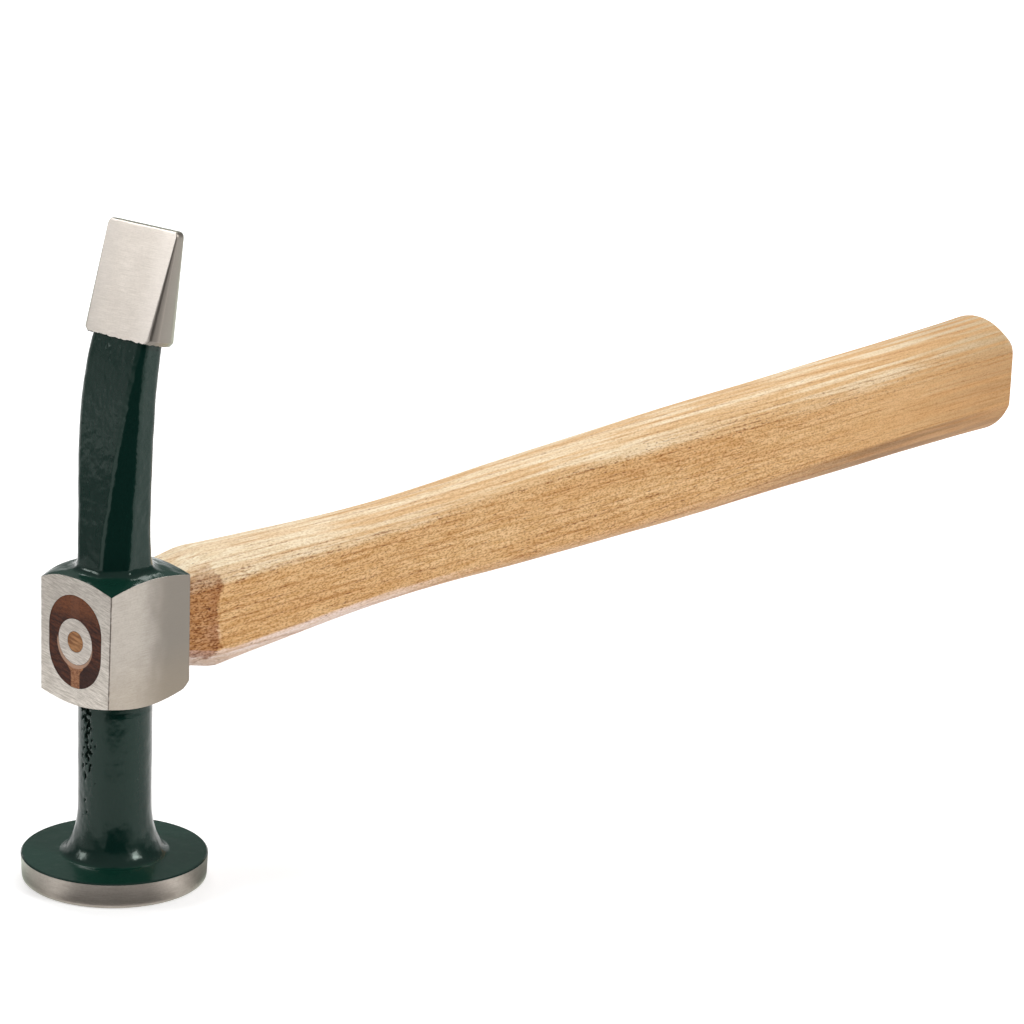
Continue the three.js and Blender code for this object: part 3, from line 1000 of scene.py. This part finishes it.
def hickory_finish():
    """Hickory: growth lines with rows of open pores, rough fibre, a crown and underside painted paler as
    painted light, and a stained shoulder.
    """
    surface = Surface("hickory")
    along = surface.turned((34, -0.4, 0.3))
    early, line = growth_lines(surface, along)
    broad = surface.grain((150, 14, 5), 1.0, along)
    streak = surface.grain((60, 2.2, 1.6), 2.0, along)
    fibre = surface.grain((9, 0.6, 0.5), 3.0, along)
    rough = surface.grain((0.8, 0.3, 0.3), 1.0, along)
    pores = surface.grain((1.5, 0.42, 0.36), 1.0, along)

    x, up = surface.x, surface.facing("Normal")[2]
    # Painted light: the crown is painted paler as if lit from above.
    on_crown = up.ramp(0.1, 0.9)
    underside = up.ramp(0.0, -0.2)
    # Painted reflection: the underside is painted paler as if lit by the floor, fading out towards the butt.
    painted_underside_light = underside * x.ramp(*pale_underside, 0.95, 0.1) * x.ramp(*pale_underside_end)
    pale = on_crown.most(painted_underside_light)
    at_end = x.ramp(*calm_end)
    calm = at_end.blend(pale.blend(0.85, 0.45), 0.28)

    # The crown's painted light: pale cream with streaks, whiter towards the shoulder.
    cream = streak.ramp(0.36, 0.62).mix(srgb(252, 236, 206), srgb(238, 206, 160))
    cream = x.ramp(*pale_shoulder, 0.0, 0.7).mix(cream, srgb(255, 246, 220))
    colour = layered(
        broad.ramp(0.35, 0.65).mix(srgb(232, 194, 143), srgb(224, 181, 127)),
        (on_crown * 0.85, cream),
        (painted_underside_light, srgb(252, 232, 222)),
        (underside * x.ramp(*brown_underside, 0.0, 0.9), srgb(150, 112, 74)),
        # Browner towards the butt, its crown there painted lighter as painted light from above.
        (x.ramp(*brown_end, 0.0, 0.75), on_crown.mix(srgb(187, 143, 95), srgb(197, 170, 131))),
        (streak.ramp(0.42, 0.62) * at_end.blend(0.25, 0.6), srgb(218, 168, 112)),
        (early * 0.3, srgb(204, 148, 90)),
    )
    colour = grained(colour, fibre.ramp(0.38, 0.66), calm, (1.06, 1.07, 1.08), (0.86, 0.74, 0.56))
    colour = grained(colour, rough.ramp(0.42, 0.66), calm, (1.04, 1.05, 1.08), (0.62, 0.48, 0.32))

    line = line * at_end.blend(pale.blend(0.36, 0.22), 0.22)
    on_slope = up.ramp(0.05, 0.3) * up.ramp(0.9, 0.6)
    rows = on_slope * 0.4 + (early * 0.7).most(line)
    deep = (pores - rows.blend(0.7, 0.52)) * 14.0
    open_pore = surface.value("ShaderNodeClamp", {0: deep})
    open_pore = open_pore * at_end.blend(on_crown.blend(0.75, 0.5), 0.25)
    colour = layered(colour, (line, srgb(168, 110, 56)), (open_pore, srgb(122, 62, 20)))
    colour = stained(surface, colour, rough, open_pore)
    height = open_pore * -0.35 + fibre * -0.4 + rough * -0.8 + 1.0
    return surface.finish({
        "Base Color": (x < block_rear - 1).mix(colour, tenon_colour(surface)),
        "Roughness": fibre.ramp(0.3, 0.7, 0.55, 0.65),
        "Specular IOR Level": 0.22,
        "Normal": surface.bump(height, 0.08),
    })


def grained(colour, tone, depth, light, dark):
    """A colour made lighter or darker by a tone from 0 to 1, to a depth."""
    return depth.mix(colour, tone.mix((*light, 1), (*dark, 1)), "MULTIPLY")


def stained(surface, colour, rough, open_pore):
    """The wood's colour with the brown oil stain that ends raggedly on the shoulder."""
    inside = surface.attribute("in_stain")
    ragged = surface.grain((1.1, 0.9, 0.7), 4.0)
    up = surface.z - eye_axis_height
    amount = (ragged * 2.4 + inside).ramp(1.0, 1.6) * up.ramp(10.5, 7, 0.4, 1.0)
    dark = (ragged * -3.0 + inside).ramp(1.5, -0.5).most(up.ramp(-2, -7, 0.0, 0.7))
    tint = layered(
        dark.mix(srgb(224, 207, 196), srgb(208, 184, 172)),
        (rough.ramp(0.5, 0.62, 0.0, 0.5), srgb(140, 100, 84)),
        (open_pore * 0.6, srgb(120, 84, 70)),
    )
    return amount.mix(colour, tint, "MULTIPLY")


def tenon_colour(surface):
    """The oiled end grain in the eye, with the bare strip that the wooden wedge shows below the ring."""
    core_radius, crescent_inside, crescent_edge = 3, 4.2, (5.15, 4.95)
    crescent_side, crescent_drop = 0.15, 0.6
    y, up = surface.y, surface.z - eye_axis_height
    slanted = surface.turned((-10, 0, 0))
    grain = surface.grain((6, 2.4, 0.5), 3.0, slanted).ramp(0.35, 0.65)
    fine = surface.grain((3, 0.6, 0.25), 3.0, slanted)
    strip = (up.ramp(-6.8, -4.9, 1.35, 2.5) - abs(y)).ramp(0.0, 0.25) * up.ramp(-3.4, -3.7)
    from_axis = length(y, up)
    crescent = length(y - crescent_side, up + crescent_drop).ramp(*crescent_edge)
    crescent = crescent * up.ramp(0.5, -0.5, 0.0, 0.8) * (from_axis > crescent_inside)
    return layered(
        grain.mix(srgb(54, 26, 16), srgb(94, 51, 32)),
        (up.ramp(3.5, 8, 0.0, 0.6), srgb(142, 84, 50)),
        (up.ramp(-3, -6, 0.0, 0.7) * y.ramp(-0.5, -2), srgb(46, 22, 16)),
        (fine.ramp(0.4, 0.7, 0.0, 0.5), srgb(48, 26, 20)),
        (strip, fine.ramp(0.35, 0.65).mix(srgb(178, 124, 88), srgb(132, 86, 58))),
        (crescent, srgb(196, 158, 134)),
        (from_axis < core_radius, grain.mix(srgb(132, 86, 52), srgb(186, 134, 88))),
    )


def wedge_finish():
    """The wooden wedge, oiled like the tenon round it."""
    surface = Surface("wedge_wood")
    return surface.finish({
        "Base Color": tenon_colour(surface),
        "Roughness": 0.6,
        "Specular IOR Level": 0.3,
        "Normal": surface.bump(surface.grain((9, 0.4, 2.2), 3.0), 0.03),
    })


# Studio.

def stage_sheet(name, corners, material):
    """A flat sheet of the studio over corners in millimetres."""
    sheet = make_object(name, corners, [tuple(range(len(corners)))])
    sheet.data.materials.append(material)
    return sheet


def seen_rays(surface):
    """1 for the rays that see the background: the camera's and the reflected and passed ones."""
    rays = new_node(surface.material.node_tree, "ShaderNodeLightPath", {}).outputs
    seen = Value(rays["Is Camera Ray"]).most(Value(rays["Is Glossy Ray"]))
    return seen.most(Value(rays["Is Transmission Ray"]))


def floor_finish():
    """White paper that keeps the shadow, lifted to the background's white, more so far from the lamps."""
    near, far = 200, 1100
    surface = Surface("white_paper")
    lift = length(surface.x, surface.y).ramp(near, far, 0.45, 0.9)
    return surface.finish({
        "Base Color": (0.8, 0.8, 0.8, 1),
        "Roughness": 0.9,
        "Specular IOR Level": 0.0,
        "Emission Color": (1, 1, 1, 1),
        "Emission Strength": seen_rays(surface) * lift,
    })


def add_floor():
    reach = 4000
    corners = [(-reach, -reach, 0), (reach, -reach, 0), (reach, reach, 0), (-reach, reach, 0)]
    stage_sheet("floor", corners, floor_finish())


def add_card(name, surface, colour, corners):
    """A dull card that only reflections see, so that it leaves no mark on the floor."""
    finish = surface.finish({"Base Color": colour, "Roughness": 1.0, "Specular IOR Level": 0.0})
    card = stage_sheet(name, corners, finish)
    card.visible_camera = False
    card.visible_diffuse = False
    card.visible_shadow = False
    card.visible_transmission = False


def add_flag(name, tone, corners):
    """A card of one grey."""
    add_card(name, Surface(name), (tone, tone, tone, 1), corners)


def add_flags():
    """Dark paper and a dark wall towards the camera, grey papers to its left, and strips round the disc that
    paint shade into the rim's reflection.
    """
    dark, pale, grey = 0.012, 0.64, 0.32
    wall_left, wall_right, wall_height = (-1350, -650), (-350, -1450), 900
    add_flag("front_flag", dark, [(-110, -25, 1), (50, -190, 1), (-350, -1400, 1), (-1300, -600, 1)])
    add_flag("wall_flag", dark, [
        (*wall_left, 0), (*wall_right, 0), (*wall_right, wall_height), (*wall_left, wall_height)])
    add_flag("eye_flag", pale, [(-150, 40, 1), (-50, 190, 1), (-147, 261, 1), (-285, 91, 1)])
    add_flag("left_flag", grey, [(-285, 91, 1), (-147, 261, 1), (-633, 1033, 1), (-1137, 417, 1)])
    add_strip("left_strip", 126, 180, 0.67)
    add_strip("front_strip", -180, -90, 0.34)
    add_strip("right_strip", -76, 2, 0.38)


def add_strip(name, start, end, tone):
    """A grey strip of card round the disc between two directions in degrees, paler towards its ends: painted
    shade that darkens the rim's reflection of the floor beside it.
    """
    fade, steps = 18, 12
    inner, outer, rise = disc_radius + 0.6, disc_radius + 16, 0.3
    surface = Surface(name)
    towards = surface.y.math("ARCTAN2", surface.x).math("DEGREES")
    share = towards.ramp(start, start + fade) * towards.ramp(end, end - fade)
    turns = [math.radians(lerp(start, end, i / steps)) for i in range(steps + 1)]
    corners = [(inner * math.cos(turn), inner * math.sin(turn), rise) for turn in turns]
    corners += [(outer * math.cos(turn), outer * math.sin(turn), rise) for turn in reversed(turns)]
    add_card(name, surface, share.mix((1, 1, 1, 1), (tone, tone, tone, 1)), corners)


def add_softbox(name, shape, place, target, size, power):
    """A lamp at a place in metres that faces a target."""
    data = bpy.data.lights.new(name, "AREA")
    data.shape = shape
    data.size, data.size_y = size
    data.energy = power
    lamp = bpy.data.objects.new(name, data)
    lamp.location = place
    lamp.rotation_euler = (Vector(target) - Vector(place)).to_track_quat("-Z", "Y").to_euler()
    bpy.context.collection.objects.link(lamp)


def add_lights():
    target = (0.1, 0, 0.06)
    add_softbox("left_softbox", "ELLIPSE", (-0.96, 0.96, 0.88), target, (0.48, 0.48), 5.2)
    add_softbox("right_softbox", "ELLIPSE", (0.3, -1.45, 1.04), target, (0.5, 0.5), 11.6)
    add_softbox("top_softbox", "RECTANGLE", (0.8, 0.65, 1.5), target, (1.3, 0.8), 15.3)


def add_world():
    """A plain studio: a pale wall round the horizon, dim above it and brighter overhead."""
    world = bpy.data.worlds.new("studio")
    world.use_nodes = True
    bpy.context.scene.world = world
    tree = world.node_tree
    height = new_value(tree, "ShaderNodeTexCoord", {}, "Generated").parts()[2]
    sky = new_node(tree, "ShaderNodeValToRGB", {0: height})
    feed(tree.nodes["Background"].inputs["Color"], Value(sky.outputs[0]))
    stops = sky.color_ramp.elements
    stops[0].position, stops[1].position = 0.2, 0.27
    stops.new(0.8)
    for stop, tone in zip(stops, (0.72, 0.165, 0.45)):
        stop.color = (tone, tone, tone, 1)


def add_camera():
    location = Vector((-524.6, -534.4, 297.6)) * MM
    forward = Vector((0.7417, 0.6099, -0.2793)).normalized()
    right = Vector((0.6423, -0.7657, 0.0335)).normalized()
    up = right.cross(forward)
    data = bpy.data.cameras.new("Camera")
    data.sensor_width = 36
    data.lens = 135.67
    camera = bpy.data.objects.new("Camera", data)
    turn = Matrix((right, up, -forward)).transposed().to_4x4()
    camera.matrix_world = Matrix.Translation(location) @ turn
    bpy.context.collection.objects.link(camera)
    bpy.context.scene.camera = camera


def dress(piece, node, material):
    """Gives a piece its finish, sets it on the body and lets it stand for its CAD node."""
    piece.data.materials.clear()
    piece.data.materials.append(material)
    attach(piece, "root")
    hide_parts(node)


add_camera()
add_world()
add_lights()
add_floor()
add_flags()
dress(hammer_head(), "hammer_head", head_finish())
dress(handle(), "handle", hickory_finish())
dress(wooden_wedge(), "wooden_wedge", wedge_finish())
dress(ring_wedge(), "ring_wedge", ring_finish())
bpy.context.scene.view_settings.view_transform = "Standard"
